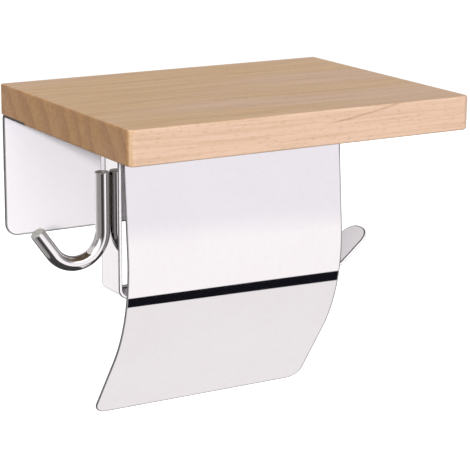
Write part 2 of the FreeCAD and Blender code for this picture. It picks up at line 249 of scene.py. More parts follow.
@dataclass(frozen=True)
class Wood:
    """Light hardwood with its grain along X, sanded and sealed with a satin lacquer.

    A stretch is a pattern's number of lumps to the metre along X, Y and Z.
    """

    name: str = "sealed_hardwood"
    pale: Colour = (0.620, 0.422, 0.252, 1)
    ring: Colour = (0.455, 0.290, 0.165, 1)
    rosy: Colour = (0.625, 0.440, 0.335, 1)
    end_tint: Colour = (0.710, 0.590, 0.450, 1)
    pore: Colour = (0.290, 0.145, 0.080, 1)
    fibre_stretch: Triple = (14, 520, 520)
    broad_stretch: Triple = (4, 20, 20)
    pore_stretch: Triple = (230, 1800, 1800)
    speck_stretch: Triple = (900, 900, 900)
    sway_stretch: Triple = (30, 30, 30)
    ring_layer: Layer = Layer(0.35, 1.0, 0.26)
    broad_layer: Layer = Layer(0.42, 0.62, 0.75)
    fibre_layer: Layer = Layer(0.42, 0.66, 0.38)
    pore_layer: Layer = Layer(0.58, 0.72)
    pore_share: float = 0.32
    end_ring_layer: Layer = Layer(0.3, 1.0, 0.34)
    speck_layer: Layer = Layer(0.55, 0.75, 0.14)
    heart: Vector = field(default_factory=lambda: Vector((0, 0.066, -0.041)))   # the middle of the rings
    lean: Triple = (0, math.radians(3.2), math.radians(-2.6))                   # of the rings, from X
    ring_scale: float = 21.0
    half_width: float = 100 * MM         # from the board's middle to its sawn ends
    depth: float = 150 * MM              # from the wall to the board's front edge
    edge_fade: tuple[float, float] = (0.9 * MM, 0.2 * MM)   # where a side's own look begins and is full
    front_rosiness: float = 0.85
    roughness: tuple[float, float] = (0.50, 0.64)
    fibre_relief: float = 0.5            # share of the grain's depth; the pores have the whole
    grain_depth: float = 0.00003
    vein_height: float = 41.8 * MM       # of the red streak in the front edge, at the middle of the board
    vein_rise: float = 0.155             # for each metre to the right
    vein_reach: tuple[float, float] = (6 * MM, 62 * MM)
    vein_fade: float = 12 * MM           # of each of its ends
    vein_sway: float = 1.5 * MM
    vein_width: float = 0.9 * MM
    vein_share: tuple[float, float] = (0.25, 0.6)

    def make(self) -> bpy.types.Material:
        """Makes the wood.

        Returns:
            The material.
        """
        surface = Surface(self.name)
        rings = self._rings(surface)
        fibres = surface.noise(surface.place, self.fibre_stretch, detail=3)
        broad = surface.noise(surface.place, self.broad_stretch)
        pores = surface.share(surface.noise(surface.place, self.pore_stretch, detail=1), self.pore_layer)
        x, y, _ = surface.add("SeparateXYZ", {0: surface.place}).outputs
        frontal = self._near_side(surface, surface.math("MULTIPLY", y, -1.0), self.depth, self.front_rosiness)
        end_grain = self._near_side(surface, surface.math("ABSOLUTE", x), self.half_width, 1)
        rosiness = surface.math("MAXIMUM", frontal, surface.share(broad, self.broad_layer))
        vein = surface.math("MULTIPLY", frontal, self._vein(surface, fibres))
        colour = surface.mix(surface.share(rings, self.ring_layer), self.pale, self.ring)
        colour = surface.mix(rosiness, colour, self.rosy)
        colour = surface.mix(surface.share(fibres, self.fibre_layer), colour, self.ring)
        colour = surface.mix(surface.math("MULTIPLY", pores, self.pore_share), colour, self.pore)
        colour = surface.mix(vein, colour, self.pore)
        colour = surface.mix(end_grain, colour, self._end_colour(surface, colour, rings))
        height = surface.math("SUBTRACT", surface.math("MULTIPLY", fibres, self.fibre_relief), pores)
        return surface.finish(
            Base_Color=colour,
            Roughness=surface.ramp(fibres, 0.3, 0.7, self.roughness),
            Specular_IOR_Level=0.28,
            Coat_Weight=0.05,
            Coat_Roughness=0.4,
            Normal=surface.bump(height, self.grain_depth, 0.6),
        )

    def _near_side(self, surface: Surface, distance: bpy.types.NodeSocket, side: float,
                   share: float) -> bpy.types.NodeSocket:
        """The share of a side's own look, which is there on the side and just inside it.

        Args:
            surface: The finish in the making.
            distance: How far towards the side the place lies.
            side: How far the side lies.
            share: The share on the side itself.

        Returns:
            The share.
        """
        begins, full = self.edge_fade
        return surface.ramp(distance, side - begins, side - full, (0, share))

    def _vein(self, surface: Surface, fibres: bpy.types.NodeSocket) -> bpy.types.NodeSocket:
        """One long red streak that climbs to the right through the front edge.

        Args:
            surface: The finish in the making.
            fibres: The fine grain, which frays the streak.

        Returns:
            The streak's strength.
        """
        x, _, z = surface.add("SeparateXYZ", {0: surface.place}).outputs
        first, last = self.vein_reach
        line = surface.math("MULTIPLY_ADD", x, self.vein_rise, self.vein_height)
        wander = surface.noise(surface.place, self.sway_stretch)
        sway = surface.math("MULTIPLY_ADD", wander, 2 * self.vein_sway, -self.vein_sway)
        off = surface.math("ABSOLUTE", surface.math("SUBTRACT", surface.math("ADD", line, sway), z))
        near = surface.ramp(off, 0.0, self.vein_width, (1, 0))
        begins = surface.ramp(x, first, first + self.vein_fade)
        ends = surface.ramp(x, last - self.vein_fade, last, (1, 0))
        frayed = surface.math("MULTIPLY", near, surface.ramp(fibres, 0.3, 0.6, self.vein_share))
        return surface.math("MULTIPLY", frayed, surface.math("MULTIPLY", begins, ends))

    def _rings(self, surface: Surface) -> bpy.types.NodeSocket:
        """Growth rings round a line that leans a little from X, so that they leave the faces slowly.

        Args:
            surface: The finish in the making.

        Returns:
            The rings' value, from 0 to 1.
        """
        moved = surface.add(
            "Mapping", {"Vector": surface.place, "Location": self.heart * -1, "Rotation": self.lean})
        sockets = {
            "Vector": moved.outputs[0],
            "Scale": self.ring_scale,
            "Distortion": 4.5,
            "Detail": 2.0,
            "Detail Scale": 0.9,
            "Detail Roughness": 0.55,
        }
        wave = surface.add("TexWave", sockets, wave_type="RINGS", rings_direction="X", wave_profile="SAW")
        return wave.outputs["Fac"]

    def _end_colour(self, surface: Surface, colour: bpy.types.NodeSocket,
                    rings: bpy.types.NodeSocket) -> bpy.types.NodeSocket:
        """The cut ends of the fibres: darker, with the rings in bands and open pores.

        Args:
            surface: The finish in the making.
            colour: The long-grain colour.
            rings: The growth rings.

        Returns:
            The end grain's colour.
        """
        dark = surface.mix(1.0, colour, self.end_tint, "MULTIPLY")
        banded = surface.mix(surface.share(rings, self.end_ring_layer), dark, self.pore)
        specks = surface.noise(surface.place, self.speck_stretch, detail=1)
        return surface.mix(surface.share(specks, self.speck_layer), banded, self.pore)


@dataclass(frozen=True)
class Steel:
    """Stainless steel: how bright, how smooth and how flat its faces are."""

    name: str
    bright: Colour
    dull: Colour
    roughness: tuple[float, float]
    wave_depth: float = 0.0
    scratch: Triple = (60, 60, 1500)     # lines to the metre along X, Y and Z
    scratch_depth: float = 0.0
    metallic: float = 1.0
    specular: float = 0.5
    cloud_stretch: Triple = (26, 26, 26)
    wave_stretch: Triple = (11, 11, 11)
    line_wear: float = 0.45              # share of the wear; the clouds give the rest
    wear_layer: Layer = Layer(0.38, 0.66)

    def make(self) -> bpy.types.Material:
        """Makes the steel, with faint clouds where it was wiped and fine lines from polishing.

        Returns:
            The material.
        """
        surface = Surface(self.name)
        clouds = surface.noise(surface.place, self.cloud_stretch, detail=3)
        lines = surface.noise(surface.place, self.scratch, detail=2)
        waves = surface.noise(surface.place, self.wave_stretch, detail=0)
        wiped = surface.math("MULTIPLY", clouds, 1 - self.line_wear)
        worn = surface.math("MULTIPLY_ADD", lines, self.line_wear, wiped)
        normal = surface.bump(waves, self.wave_depth)
        fine = surface.add("Bump", {"Height": lines, "Distance": self.scratch_depth, "Normal": normal})
        return surface.finish(
            Base_Color=surface.mix(surface.share(worn, self.wear_layer), self.bright, self.dull),
            Metallic=self.metallic,
            Specular_IOR_Level=self.specular,
            Roughness=surface.ramp(worn, 0.35, 0.65, self.roughness),
            Normal=fine.outputs[0],
        )


@dataclass(frozen=True)
class Nylon:
    """Moulded off-white plastic."""

    name: str = "moulded_nylon"
    light: Colour = (0.78, 0.76, 0.70, 1)
    shade: Colour = (0.66, 0.64, 0.58, 1)
    roughness: tuple[float, float] = (0.38, 0.55)
    mottle_stretch: Triple = (400, 400, 400)
    mottle_layer: Layer = Layer(0.35, 0.7)
    mottle_depth: float = 0.00002

    def make(self) -> bpy.types.Material:
        """Makes the plastic.

        Returns:
            The material.
        """
        surface = Surface(self.name)
        mottle = surface.noise(surface.place, self.mottle_stretch, detail=3)
        return surface.finish(
            Base_Color=surface.mix(surface.share(mottle, self.mottle_layer), self.light, self.shade),
            Roughness=surface.ramp(mottle, 0.3, 0.7, self.roughness),
            Subsurface_Weight=0.08,
            Subsurface_Radius=(0.001, 0.001, 0.0008),
            Normal=surface.bump(mottle, self.mottle_depth),
        )


MIRROR = Steel("mirror_steel", (0.810, 0.790, 0.798, 1), (0.795, 0.773, 0.783, 1), (0.02, 0.035), 0.00006,
               scratch=(300, 300, 300))
SATIN = Steel("satin_steel", (0.915, 0.888, 0.925, 1), (0.900, 0.872, 0.910, 1), (0.50, 0.60), metallic=0.1,
              scratch=(300, 300, 300))
# Painted shade: a near-black, matt colour on the sheets' rims and broken edges that draws the dark lines
# along their edges.
EDGE_SHADE = Steel("painted_edge_shade", (0.105, 0.102, 0.105, 1), (0.075, 0.072, 0.075, 1), (0.55, 0.70),
                 metallic=0.0, specular=0.08, scratch=(900, 900, 60), scratch_depth=0.00001)
# Painted shade: a dark, matt band along the sheets' cut edges that draws the dark outline of their edges.
SHADE_BAND = Steel("painted_shade_band", (0.30, 0.295, 0.30, 1), (0.25, 0.245, 0.25, 1), (0.50, 0.65),
               metallic=0.0, specular=0.15, scratch=(300, 300, 300))
SAWN = Steel("sawn_end_steel", (0.88, 0.87, 0.82, 1), (0.70, 0.69, 0.64, 1), (0.30, 0.45),
             scratch=(1500, 200, 1500), scratch_depth=0.00001)
PRESSED = Steel("pressed_steel", (0.62, 0.61, 0.60, 1), (0.50, 0.49, 0.48, 1), (0.22, 0.36),
                scratch=(50, 1200, 1200), scratch_depth=0.000008)
WELD_STEEL = Steel("weld_steel", (0.50, 0.47, 0.43, 1), (0.34, 0.30, 0.27, 1), (0.25, 0.45),
                   scratch=(700, 700, 700), scratch_depth=0.00003)
SCREW_ZINC = Steel("screw_steel", (0.66, 0.66, 0.67, 1), (0.50, 0.50, 0.52, 1), (0.20, 0.34),
                   scratch=(900, 900, 200), scratch_depth=0.000008)


@dataclass
class Finishes:
    """Every finish, made once."""

    wood: bpy.types.Material = field(default_factory=lambda: Wood().make())
    mirror: bpy.types.Material = field(default_factory=MIRROR.make)
    satin: bpy.types.Material = field(default_factory=SATIN.make)
    edge_shade: bpy.types.Material = field(default_factory=EDGE_SHADE.make)
    shade_band: bpy.types.Material = field(default_factory=SHADE_BAND.make)
    sawn: bpy.types.Material = field(default_factory=SAWN.make)
    pressed: bpy.types.Material = field(default_factory=PRESSED.make)
    weld: bpy.types.Material = field(default_factory=WELD_STEEL.make)
    screw: bpy.types.Material = field(default_factory=SCREW_ZINC.make)
    nylon: bpy.types.Material = field(default_factory=lambda: Nylon().make())


# ------------------------------------------------------------------ modelling


class Sweep:
    """A row or ring of edges that is drawn along straight runs and bends."""

    def __init__(self, bm: bmesh.types.BMesh, edges: list[bmesh.types.BMEdge]) -> None:
        """Starts the sweep at those edges."""
        self.bm = bm
        self.edges = edges

    def straight(self, step: Vector) -> None:
        """Draws the edges along a straight run.

        Args:
            step: The run.
        """
        drawn = bmesh.ops.extrude_edge_only(self.bm, edges=self.edges)["geom"]
        bmesh.ops.translate(self.bm, vec=step, verts=[v for v in drawn if isinstance(v, bmesh.types.BMVert)])
        self.edges = [e for e in drawn if isinstance(e, bmesh.types.BMEdge)]

    def bend(self, centre: Vector, axis: Vector, turn: float, steps: int) -> None:
        """Draws the edges round an arc.

        Args:
            centre: A point of the arc's axis.
            axis: The axis's direction.
            turn: The angle, in radians.
            steps: How many pieces the arc has.
        """
        verts = list({v for e in self.edges for v in e.verts})
        drawn = bmesh.ops.spin(
            self.bm, geom=verts + self.edges, cent=centre, axis=axis, angle=turn, steps=steps,
            use_duplicate=False)["geom_last"]
        self.edges = [e for e in drawn if isinstance(e, bmesh.types.BMEdge)]


@dataclass
class BentSheet:
    """A sheet or strip of even thickness, folded along a path that its outer face follows.

    The metal lies to the right of the path. Each of the path's inner corners has its own radius.
    """

    plane: Plane
    corners: list[Vector]
    radii: list[float]
    thickness: float
    start: Vector                # where the width starts
    width: Vector
    bend_step: float = math.radians(2.5)
    fewest_steps: int = 6        # in a bend
    shade_band: float = 0.8 * MM     # how far in from the cut edge the band of painted dark outline reaches
    edge_steps: int = 3

    def draw(self) -> bmesh.types.BMesh:
        """Draws the outer face as one row of quads.

        Returns:
            The open mesh.
        """
        bm = bmesh.new()
        first = self.plane.place(self.corners[0]) + self.start
        verts = [bm.verts.new(first), bm.verts.new(first + self.width)]
        sweep = Sweep(bm, [bm.edges.new(verts)])
        here = self.corners[0]
        bends = zip(self.corners, self.corners[1:], self.corners[2:], self.radii)
        for before, corner, after, radius in bends:
            arriving = (corner - before).normalized()
            leaving = (after - corner).normalized()
            turn = math.atan2(arriving.cross(leaving), arriving.dot(leaving))
            reach = radius * math.tan(abs(turn) / 2)
            sweep.straight(self.plane.place(corner - arriving * reach - here))
            middle = corner + (leaving - arriving).normalized() * (radius / math.cos(turn / 2))
            steps = max(self.fewest_steps, round(abs(turn) / self.bend_step))
            sweep.bend(self.plane.place(middle) + self.start, self.plane.across, turn, steps)
            here = corner + leaving * reach
        sweep.straight(self.plane.place(self.corners[-1] - here))
        return bm

    def end_vertices(self, bm: bmesh.types.BMesh) -> list[bmesh.types.BMVert]:
        """Finds the corners at the path's end.

        Args:
            bm: The drawn face.

        Returns:
            The two vertices.
        """
        last = self.plane.place(self.corners[-1]) + self.start
        ends = (last, last + self.width)
        return [v for v in bm.verts if min((v.co - end).length for end in ends) < TOUCHING]

    def thicken(self, bm: bmesh.types.BMesh, edge_radius: float) -> None:
        """Gives the sheet its thickness, breaks its edges and numbers the parts of its surface.

        Args:
            bm: The drawn face.
            edge_radius: Radius of the broken edges.
        """
        bmesh.ops.remove_doubles(bm, verts=bm.verts, dist=TOUCHING)
        bmesh.ops.recalc_face_normals(bm, faces=bm.faces)
        metal_side = self.plane.across.cross(self.plane.place(self.corners[1] - self.corners[0])) * -1
        first = min(bm.faces, key=lambda f: (f.calc_center_median() - self.plane.place(self.corners[0])
                                             - self.start - self.width / 2).length)
        first.normal_update()
        if first.normal.dot(metal_side) > 0:
            bmesh.ops.reverse_faces(bm, faces=bm.faces)
        # An inset band along the cut edge, which gets the painted dark outline.
        shade_band = bmesh.ops.inset_region(
            bm, faces=bm.faces[:], thickness=self.shade_band, use_boundary=True, use_even_offset=True)
        for face in shade_band["faces"]:
            face.material_index = Part.SHADE_BAND.value
        bm.normal_update()
        outer = set(bm.verts)
        bmesh.ops.solidify(bm, geom=bm.faces[:], thickness=self.thickness)
        bmesh.ops.recalc_face_normals(bm, faces=bm.faces)
        for face in bm.faces:
            if 0 < sum(v in outer for v in face.verts) < len(face.verts):
                face.material_index = Part.RIM.value
        creases = [e for e in bm.edges if len(e.link_faces) == 2 and e.calc_face_angle(0) > SHARP_ANGLE]
        for face in break_edges(bm, creases, edge_radius, self.edge_steps):
            face.material_index = Part.BROKEN_EDGE.value


def round_corners(bm: bmesh.types.BMesh, corners: list[bmesh.types.BMVert], radius: float,
                  steps: int) -> None:
    """Rounds corners of a flat face, before it gets its thickness.

    Args:
        bm: The mesh.
        corners: The corners.
        radius: Their radius.
        steps: How many pieces each arc has.
    """
    bmesh.ops.bevel(
        bm, geom=corners, offset=radius, offset_type="OFFSET", segments=steps, profile=0.5,
        affect="VERTICES", clamp_overlap=True, material=-1)


def break_edges(bm: bmesh.types.BMesh, edges: list[bmesh.types.BMEdge], radius: float,
                steps: int) -> list[bmesh.types.BMFace]:
    """Rounds edges of a closed shape.

    Args:
        bm: The mesh.
        edges: The edges.
        radius: Their radius.
        steps: How many pieces each arc has.

    Returns:
        The new faces.
    """
    return bmesh.ops.bevel(
        bm, geom=edges, offset=radius, offset_type="OFFSET", segments=steps, profile=0.5,
        affect="EDGES", clamp_overlap=True, material=-1)["faces"]


def object_from(bm: bmesh.types.BMesh, name: str) -> bpy.types.Object:
    """Puts a shape into the scene.

    Args:
        bm: The shape, which is freed.
        name: The object's name.

    Returns:
        The object, at the origin.
    """
    mesh = bpy.data.meshes.new(name)
    bm.to_mesh(mesh)
    bm.free()
    made = bpy.data.objects.new(name, mesh)
    bpy.context.scene.collection.objects.link(made)
    return made


def piece_from(bm: bmesh.types.BMesh, name: str) -> bpy.types.Object:
    """Makes the piece: outward faces, smooth where it curves, flat where it is flat.

    Args:
        bm: The finished shape, which is freed.
        name: The piece's name.

    Returns:
        The piece, at the origin.
    """
    bmesh.ops.recalc_face_normals(bm, faces=bm.faces)
    piece = object_from(bm, name)
    piece.data.shade_smooth()
    piece.data.set_sharp_from_angle(angle=SHARP_ANGLE)
    even = piece.modifiers.new("even_normals", "WEIGHTED_NORMAL")
    even.weight = AREA_WEIGHT
    even.keep_sharp = True
    return piece


def softened_copy(node: str, radius: float) -> bmesh.types.BMesh:
    """A merged copy of a CAD node with its sharp edges broken.

    Args:
        node: The node's name.
        radius: Radius of the broken edges.

    Returns:
        The shape.
    """
    bm = bmesh.new()
    bm.from_mesh(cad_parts[node].data)
    bmesh.ops.remove_doubles(bm, verts=bm.verts, dist=TOUCHING)
    bmesh.ops.dissolve_limit(bm, angle_limit=FLAT_ANGLE, verts=bm.verts, edges=bm.edges)
    break_edges(bm, [e for e in bm.edges if e.calc_face_angle(0) > SHARP_ANGLE], radius, steps=2)
    return bm


def fit_out(piece: bpy.types.Object, body: Body, slot: Slot, nodes: tuple[str, ...],
            *materials: bpy.types.Material) -> None:
    """Gives a piece its finish, its body and the CAD nodes that it stands for.

    Args:
        piece: The piece.
        body: The body that it rides on.
        slot: Not used.
        nodes: The CAD nodes.
        materials: Its materials, in the order of its faces' numbers.
    """
    for material in materials:
        piece.data.materials.append(material)
    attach(piece, body.value)
    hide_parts(*nodes)
    log.info("%s: %d faces, on %s", piece.name, len(piece.data.polygons), body.value)


# ------------------------------------------------------------------ sub-assemblies


@dataclass
class ShelfBoard:
    """The wooden shelf with its rebate for the wall plate's flange."""

    corner_radius: float = 4.0 * MM
    edge_radius: float = 1.0 * MM
    rebate_depth: float = 30.0 * MM
    rebate_height: float = 1.5 * MM

    def build(self) -> None:
        """Extrudes the board's side view across, then rounds its corners and edges."""
        low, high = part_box("shelf_board")
        step = low.z + self.rebate_height
        outline = [
            (high.y, high.z), (low.y, high.z), (low.y, low.z),
            (-self.rebate_depth, low.z), (-self.rebate_depth, step), (high.y, step),
        ]
        bm = bmesh.new()
        side = bm.faces.new([bm.verts.new((low.x, y, z)) for y, z in outline])
        drawn = bmesh.ops.extrude_face_region(bm, geom=[side], use_keep_orig=True)["geom"]
        far = [v for v in drawn if isinstance(v, bmesh.types.BMVert)]
        bmesh.ops.translate(bm, vec=(high.x - low.x, 0, 0), verts=far)
        bmesh.ops.recalc_face_normals(bm, faces=bm.faces)
        upright = [e for e in bm.edges if all(v.co.y < low.y + TOUCHING for v in e.verts)
                   and abs(e.verts[0].co.z - e.verts[1].co.z) > TOUCHING]
        break_edges(bm, upright, self.corner_radius, steps=8)
        rim = [e for e in bm.edges if self._is_rim(e, low, high)]
        break_edges(bm, rim, self.edge_radius, steps=4)
        self.piece = piece_from(bm, "board")

    def _is_rim(self, edge: bmesh.types.BMEdge, low: Vector, high: Vector) -> bool:
        """True for the edges round the top and round the underside, but not on the wall.

        Args:
            edge: The edge.
            low: The board's lowest corner.
            high: The board's highest corner.

        Returns:
            Whether the edge is broken.
        """
        places = [v.co for v in edge.verts]
        level = any(all(abs(p.z - z) < TOUCHING for p in places) for z in (low.z, high.z))
        on_wall = all(p.y > -TOUCHING for p in places)
        at_rebate = all(abs(p.y + self.rebate_depth) < TOUCHING for p in places)
        return level and not on_wall and not at_rebate

    def dress(self, finishes: Finishes) -> None:
        """Gives the board its wood."""
        fit_out(self.piece, Body.HOLDER, Slot.WOOD, ("shelf_board",), finishes.wood)


@dataclass
class WallPlate:
    """The folded plate on the wall, with its two fixing holes."""

    thickness: float = 1.5 * MM
    fold_radius: float = 2.5 * MM        # outside
    corner_radius: float = 7.0 * MM
    edge_radius: float = 0.2 * MM
    hole_radius: float = 2.75 * MM
    hole_spacing: float = 64.0 * MM
    hole_sides: int = 48

    def build(self) -> None:
        """Folds the sheet, rounds its lower corners and cuts the holes."""
        low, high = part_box("wall_plate")
        sheet = BentSheet(
            Plane.YZ, [Vector((low.y, high.z)), Vector((0, high.z)), Vector((0, low.z))],
            [self.fold_radius], self.thickness, Vector((low.x, 0, 0)), Vector((high.x - low.x, 0, 0)),
            bend_step=math.radians(10))
        bm = sheet.draw()
        round_corners(bm, sheet.end_vertices(bm), self.corner_radius, steps=10)
        sheet.thicken(bm, self.edge_radius)
        self.piece = piece_from(bm, "plate")
        self._cut_holes()

    def _cut_holes(self) -> None:
        """Cuts the fixing holes with two short cylinders."""
        bm = bmesh.new()
        for side in (-1, 1):
            place = Matrix.Translation((side * self.hole_spacing / 2, 0, 0))
            bmesh.ops.create_cone(
                bm, cap_ends=True, segments=self.hole_sides, radius1=self.hole_radius,
                radius2=self.hole_radius, depth=4 * self.thickness,
                matrix=place @ Matrix.Rotation(math.pi / 2, 4, "X"))
        cutter = object_from(bm, "hole_cutter")
        cut = self.piece.modifiers.new("holes", "BOOLEAN")
        cut.object = cutter
        cut.operation = "DIFFERENCE"
        self.piece.modifiers.move(1, 0)
        seen = self.piece.evaluated_get(bpy.context.evaluated_depsgraph_get())
        finished = bpy.data.meshes.new_from_object(seen)
        self.piece.modifiers.remove(cut)
        self.piece.data = finished
        finished.set_sharp_from_angle(angle=SHARP_ANGLE)
        bpy.data.objects.remove(cutter)

    def dress(self, finishes: Finishes) -> None:
        """Gives the plate its satin faces, and painted dark shade on its rims, its broken edges and the band
        along its cut edge.
        """
        fit_out(self.piece, Body.HOLDER, Slot.POLISHED_STEEL, ("wall_plate",),
                finishes.satin, finishes.edge_shade, finishes.edge_shade, finishes.shade_band)


@dataclass
class RollHanger:
    """The flat strip that carries the roll: flange, arm, run and raised lip."""

    thickness: float = 2.0 * MM
    arm_inside: float = 67.1 * MM        # from the middle to the arm's inner face
    top_radius: float = 4.0 * MM         # outside of the bend under the board
    bottom_radius: float = 4.0 * MM      # inside of the bend at the run
    run_length: float = 136.5 * MM
    lip_length: float = 26.3 * MM
    lip_angle: float = math.radians(40)
    lip_radius: float = 6.0 * MM
    lip_corner: float = 8.5 * MM
    edge_radius: float = 0.4 * MM

    def build(self) -> None:
        """Bends the strip and rounds the lip's corners."""
        low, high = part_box("roll_hanger")
        run_top = low.z + self.thickness
        run_end = self.run_length - self.arm_inside
        lip = Vector((math.cos(self.lip_angle), math.sin(self.lip_angle))) * self.lip_length
        corners = [
            Vector((low.x, high.z)), Vector((-self.arm_inside, high.z)), Vector((-self.arm_inside, run_top)),
            Vector((run_end, run_top)), Vector((run_end, run_top)) + lip,
        ]
        sheet = BentSheet(
            Plane.XZ, corners, [self.top_radius, self.bottom_radius, self.lip_radius], self.thickness,
            Vector((0, low.y, 0)), Vector((0, high.y - low.y, 0)), bend_step=math.radians(6))
        bm = sheet.draw()
        round_corners(bm, sheet.end_vertices(bm), self.lip_corner, steps=12)
        sheet.thicken(bm, self.edge_radius)
        # The lip's top face gets the pale satin finish in place of the mirror polish: a painted reflection
        # that stands in for the light the polished lip reflects.
        upward = Plane.XZ.place(Vector((-lip.y, lip.x))).normalized()
        for face in bm.faces:
            if face.normal.dot(upward) > ALONG and face.material_index == Part.FACE.value:
                face.material_index = Part.LIP.value
        self.piece = piece_from(bm, "hanger")

    def dress(self, finishes: Finishes) -> None:
        """Gives the strip its mirror polish and satin sides, a pale satin top on its lip as a painted
        reflection of the light there, and painted dark shade on the band along its cut edge and on its broken
        edges.
        """
        fit_out(self.piece, Body.HOLDER, Slot.POLISHED_STEEL, ("roll_hanger",),
                finishes.mirror, finishes.satin, finishes.edge_shade, finishes.shade_band, finishes.satin)


@dataclass
class SideHook:
    """The round rod bent into a hook, and the weld that holds it to the arm."""

    diameter: float = 8.0 * MM
    straight: float = 31.3 * MM
    bend_radius: float = 15.9 * MM
    sweep: float = math.radians(144.5)
    tip_length: float = 15.0 * MM
    end_chamfer: float = 0.5 * MM
    round_steps: int = 48
    bend_steps: int = 56
    swell: float = 1.12                  # of the weld's ripples
    ripple_length: float = 1.3 * MM
    weld_sides: int = 24

    def build(self) -> None:
        """Draws the rod from its cut top end and lays the weld beside it."""
        low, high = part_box("side_hook")
        radius = self.diameter / 2
        top = Vector((high.x - radius, (low.y + high.y) / 2, high.z))
        bm = bmesh.new()
        ring = bmesh.ops.create_circle(
            bm, cap_ends=False, segments=self.round_steps, radius=radius, matrix=Matrix.Translation(top))
        sweep = Sweep(bm, list({e for v in ring["verts"] for e in v.link_edges}))
        first = sweep.edges
        sweep.straight(Vector((0, 0, -self.straight)))
        centre = top - Vector((self.bend_radius, 0, self.straight))
        sweep.bend(centre, Vector((0, 1, 0)), self.sweep, self.bend_steps)
        sweep.straight(Vector((-math.sin(self.sweep), 0, -math.cos(self.sweep))) * self.tip_length)
        for edges in (first, sweep.edges):
            bmesh.ops.contextual_create(bm, geom=edges)
        bmesh.ops.remove_doubles(bm, verts=bm.verts, dist=TOUCHING)
        bmesh.ops.recalc_face_normals(bm, faces=bm.faces)
        rims = [e for e in bm.edges if e.calc_face_angle(0) > SHARP_ANGLE]
        break_edges(bm, rims, self.end_chamfer, steps=1)
        for face in bm.faces:
            if len(face.verts) == self.round_steps:
                face.material_index = Part.RIM.value
        self.rod = piece_from(bm, "hook")
        self.weld = piece_from(self._weld_bead(), "hook_weld")

    def _weld_bead(self) -> bmesh.types.BMesh:
        """A bead with the ripples that a weld pool leaves, along the wedge between rod and arm.

        Returns:
            The bead's shape.
        """
        low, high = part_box("side_hook_weld")
        middle = (low + high) / 2
        bm = bmesh.new()
        half = (high - low) / 2
        size = Matrix.Diagonal((half.x, half.y / self.swell, 1, 1))
        ring = bmesh.ops.create_circle(
            bm, cap_ends=True, segments=self.weld_sides, radius=1,
            matrix=Matrix.Translation((middle.x, middle.y, low.z)) @ size)
        sweep = Sweep(bm, [e for e in bm.edges if e.verts[0] in ring["verts"]])
        count = round((high.z - low.z) / self.ripple_length) * 2
        step = Vector((0, 0, (high.z - low.z) / count))
        for number in range(count):
            sweep.straight(step)
            grow = self.swell if number % 2 == 0 else 1 / self.swell
            verts = list({v for e in sweep.edges for v in e.verts})
            here = Vector((middle.x, middle.y, verts[0].co.z))
            bmesh.ops.scale(bm, vec=(1, grow, 1), space=Matrix.Translation(-here), verts=verts)
        bmesh.ops.contextual_create(bm, geom=sweep.edges)
        return bm

    def dress(self, finishes: Finishes) -> None:
        """Gives the rod its mirror polish and the weld its duller, slightly tinted steel."""
        fit_out(self.rod, Body.HOLDER, Slot.POLISHED_STEEL, ("side_hook",), finishes.mirror, finishes.sawn)
        fit_out(self.weld, Body.HOLDER, Slot.POLISHED_STEEL, ("side_hook_weld",), finishes.weld)


@dataclass
class Lid:
    """The curved sheet that hangs in front of the roll."""

    thickness: float = 1.0 * MM
    lead: float = 77.8 * MM              # from the wall to the front of the top edge
    top_drop: float = 7.0 * MM           # below the board
    tilt: float = math.radians(4.66)
    upper_run: float = 90.6 * MM
    lower_angle: float = math.radians(35.1)
    lower_run: float = 80.3 * MM
    bend_radius: float = 97.8 * MM       # outside
    corner_radius: float = 8.0 * MM
    edge_radius: float = 0.3 * MM

    def build(self) -> None:
        """Draws the sheet from its top edge down and rounds its lower corners."""
        low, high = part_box("lid")
        top = Vector((-self.lead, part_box("shelf_board")[0].z - self.top_drop))
        knee = top - Vector((math.sin(self.tilt), math.cos(self.tilt))) * self.upper_run
        bottom = knee + Vector((math.sin(self.lower_angle), -math.cos(self.lower_angle))) * self.lower_run
        sheet = BentSheet(
            Plane.YZ, [top, knee, bottom], [self.bend_radius], -self.thickness,
            Vector((low.x, 0, 0)), Vector((high.x - low.x, 0, 0)), bend_step=math.radians(0.8))
        bm = sheet.draw()
        round_corners(bm, sheet.end_vertices(bm), self.corner_radius, steps=12)
        sheet.thicken(bm, self.edge_radius)
        self.piece = piece_from(bm, "lid_sheet")

    def dress(self, finishes: Finishes) -> None:
        """Gives the lid its mirror polish, and painted dark shade on its rims, its broken edges and the band
        along its cut edge.
        """
        fit_out(self.piece, Body.LID, Slot.POLISHED_STEEL, ("lid",),
                finishes.mirror, finishes.shade_band, finishes.edge_shade, finishes.shade_band)


@dataclass
class Hinge:
    """The brackets, pin, cap, lugs and bushes that the lid swings on."""

    edge_radius: float = 0.15 * MM
    pressed_nodes: tuple[str, ...] = (
        "hinge_bracket_left", "hinge_bracket_right", "hinge_pin", "hinge_pin_cap")
    lug_nodes: tuple[str, ...] = ("lid_lug_left", "lid_lug_right")
    bush_nodes: tuple[str, ...] = ("lid_bush_left", "lid_bush_right")

    def build(self) -> None:
        """Breaks the edges of each small part."""
        self.pieces: dict[str, bpy.types.Object] = {}
        for node in self.pressed_nodes + self.lug_nodes + self.bush_nodes:
            self.pieces[node] = piece_from(softened_copy(node, self.edge_radius), node + "_part")

    def dress(self, finishes: Finishes) -> None:
        """Gives the metal parts pressed steel and the bushes nylon.

        Args:
            finishes: The finishes.
        """
        for node, piece in self.pieces.items():
            body = Body.HOLDER if node in self.pressed_nodes else Body.LID
            plastic = node in self.bush_nodes
            slot = Slot.BUSH_PLASTIC if plastic else Slot.POLISHED_STEEL
            fit_out(piece, body, slot, (node,), finishes.nylon if plastic else finishes.pressed)


